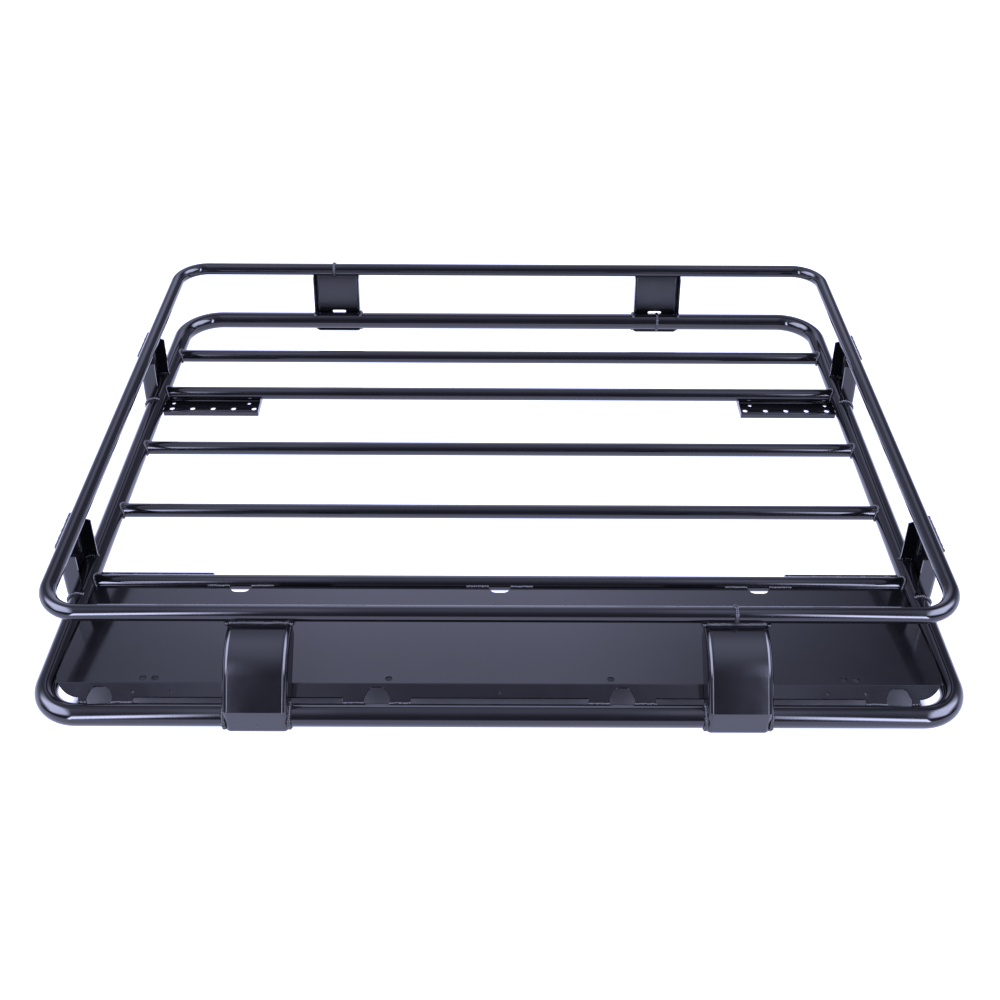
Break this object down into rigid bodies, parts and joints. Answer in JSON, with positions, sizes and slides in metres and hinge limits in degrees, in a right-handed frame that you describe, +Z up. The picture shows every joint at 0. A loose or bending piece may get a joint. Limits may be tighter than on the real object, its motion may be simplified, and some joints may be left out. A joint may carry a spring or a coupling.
{
  "type": "roof rack",
  "caption": "Welded steel luggage rack for a vehicle roof: bent tube rings joined by pressed posts, round crossbars, a sheet wind deflector and mounting channels.",
  "frame": {"origin": "on the ground plane under the middle of the rack, at the bottom edges of the mounting channels", "axes": "+Z up; +X across the vehicle, the rack's longer side; -Y towards the end with the wind deflector, which faces the way the vehicle drives"},
  "size_m": [1.235, 1.0182, 0.1336],
  "materials": {
    "tube_paint": "gloss black powder coat on steel tube",
    "post_paint": "gloss black powder coat on pressed steel",
    "channel_paint": "gloss black powder coat on pressed steel",
    "deflector_paint": "gloss black powder coat on folded sheet steel"
  },
  "bodies": {
    "root": {"base_tube_left": "tube_paint", "base_tube_right": "tube_paint", "top_rail_left": "tube_paint", "top_rail_right": "tube_paint", "crossbar_1": "tube_paint", "crossbar_2": "tube_paint", "crossbar_3": "tube_paint", "crossbar_4": "tube_paint", "crossbar_5": "tube_paint", "front_post_left": "post_paint", "front_post_right": "post_paint", "rear_post_left": "post_paint", "rear_post_right": "post_paint", "side_post_front_left": "post_paint", "side_post_front_right": "post_paint", "side_post_rear_left": "post_paint", "side_post_rear_right": "post_paint", "mounting_channel_front_left": "channel_paint", "mounting_channel_front_right": "channel_paint", "mounting_channel_rear_left": "channel_paint", "mounting_channel_rear_right": "channel_paint", "wind_deflector": "deflector_paint"}
  },
  "joints": []
}
